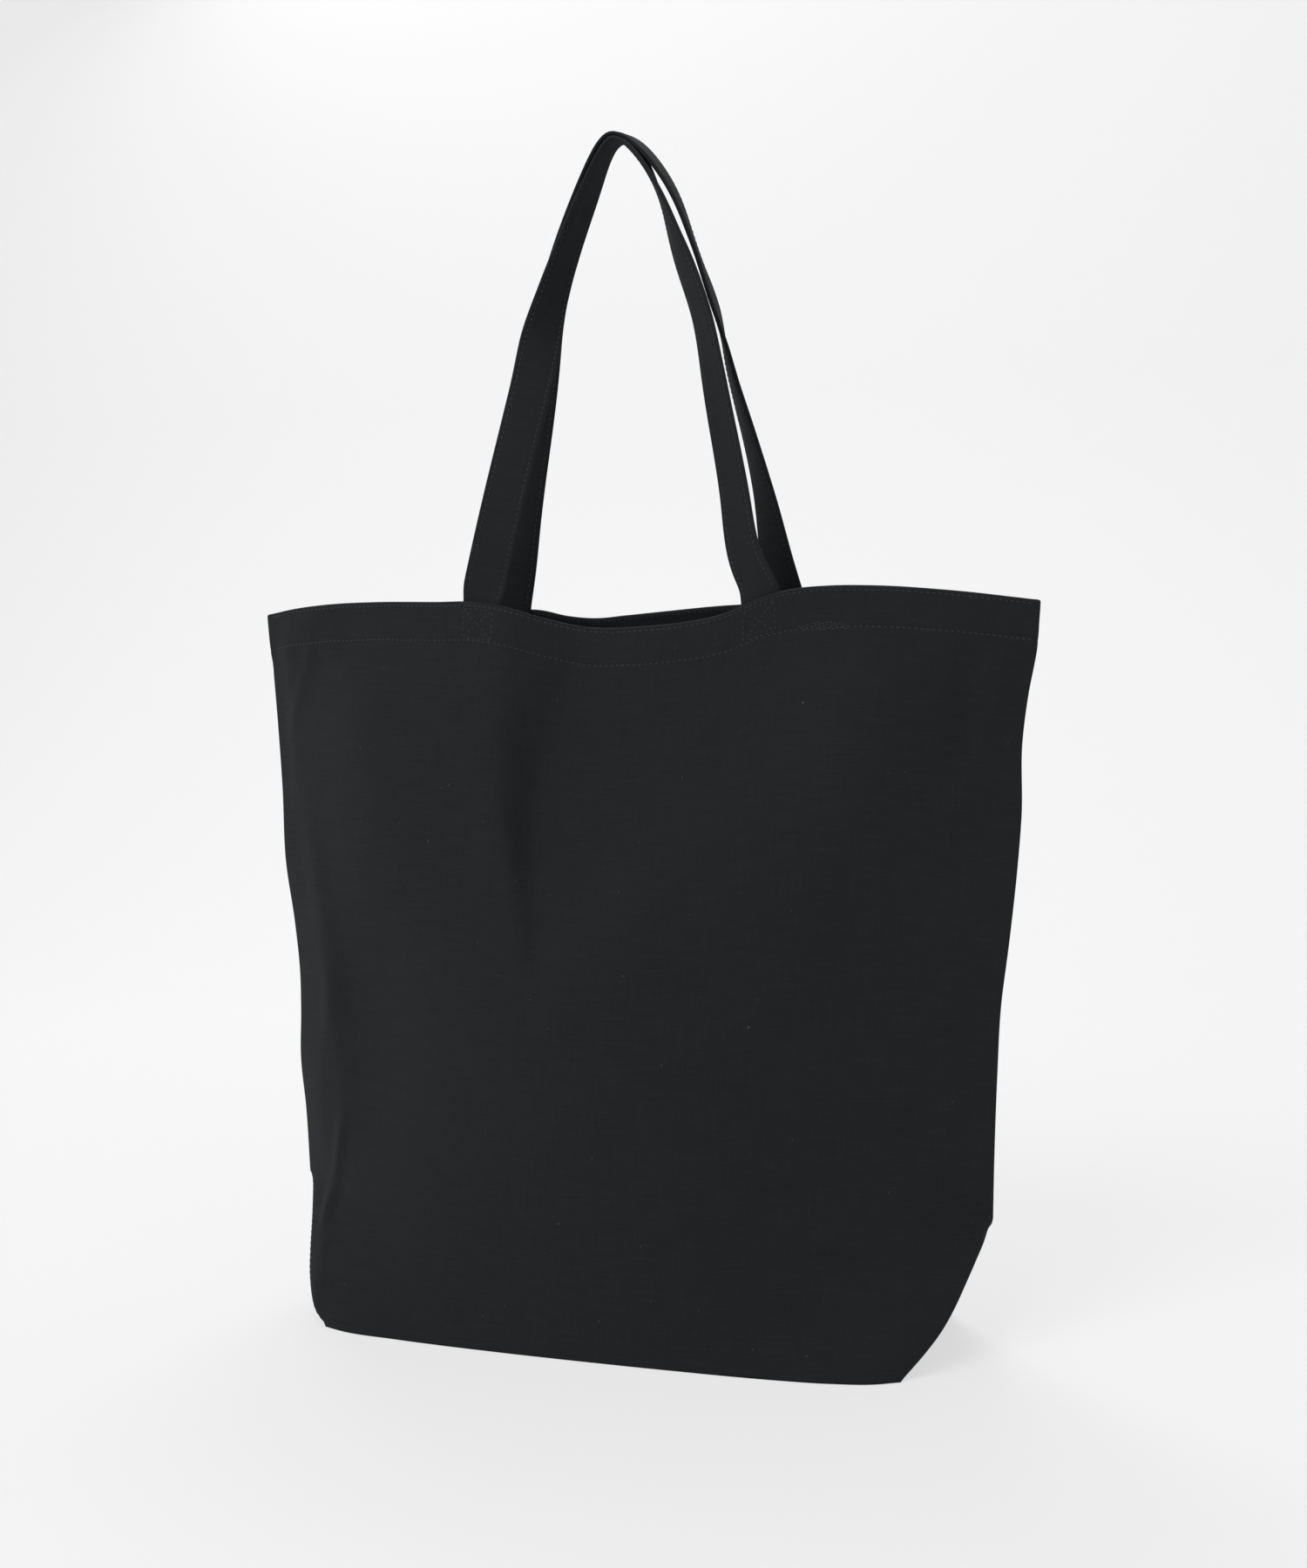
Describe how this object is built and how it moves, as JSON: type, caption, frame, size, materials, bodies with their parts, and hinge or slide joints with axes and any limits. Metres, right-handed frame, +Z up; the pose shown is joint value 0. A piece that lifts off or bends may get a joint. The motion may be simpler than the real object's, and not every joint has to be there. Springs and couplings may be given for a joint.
{
  "type": "canvas tote bag",
  "caption": "Open canvas tote bag with a boxed flat bottom, a stitched mouth hem and strap handles that fold down over the front and back, for carrying shopping or books.",
  "frame": {"origin": "centre of the base rectangle, on the floor", "axes": "+X to the right along the width, -Y to the front, +Z up from the floor to the handles"},
  "size_m": [0.48, 0.1873, 0.7047],
  "materials": {
    "canvas": "matte plain weave cotton canvas",
    "thread": "matte sewing thread",
    "binding": "matte cotton tape"
  },
  "bodies": {
    "bag": {"front_panel": "canvas", "back_panel": "canvas", "front_hem_facing": "canvas", "back_hem_facing": "canvas", "front_handle_ends": "canvas", "back_handle_ends": "canvas", "front_hem_upper_stitch": "thread", "front_hem_lower_stitch": "thread", "back_hem_upper_stitch": "thread", "back_hem_lower_stitch": "thread", "front_handle_box_stitches": "thread", "back_handle_box_stitches": "thread", "left_seam_binding": "binding", "right_seam_binding": "binding", "bottom_seam_binding": "binding", "left_gusset_binding": "binding", "right_gusset_binding": "binding", "side_seam_stitches": "thread", "bottom_seam_stitch": "thread", "gusset_seam_stitches": "thread", "hem_backtack_stitch": "thread"},
    "front_handle": {"front_handle": "canvas", "front_handle_edge_stitches": "thread"},
    "back_handle": {"back_handle": "canvas", "back_handle_edge_stitches": "thread"}
  },
  "joints": [
    {"name": "front_handle_fold", "type": "hinge", "parent": "bag", "child": "front_handle", "pos_m": [0, -0.0743, 0.4325], "axis": [0.9992, 0.0394, 0], "range_deg": [0, 178]},
    {"name": "back_handle_fold", "type": "hinge", "parent": "bag", "child": "back_handle", "pos_m": [0, 0.0155, 0.4325], "axis": [-1, 0, 0], "range_deg": [0, 160]}
  ]
}
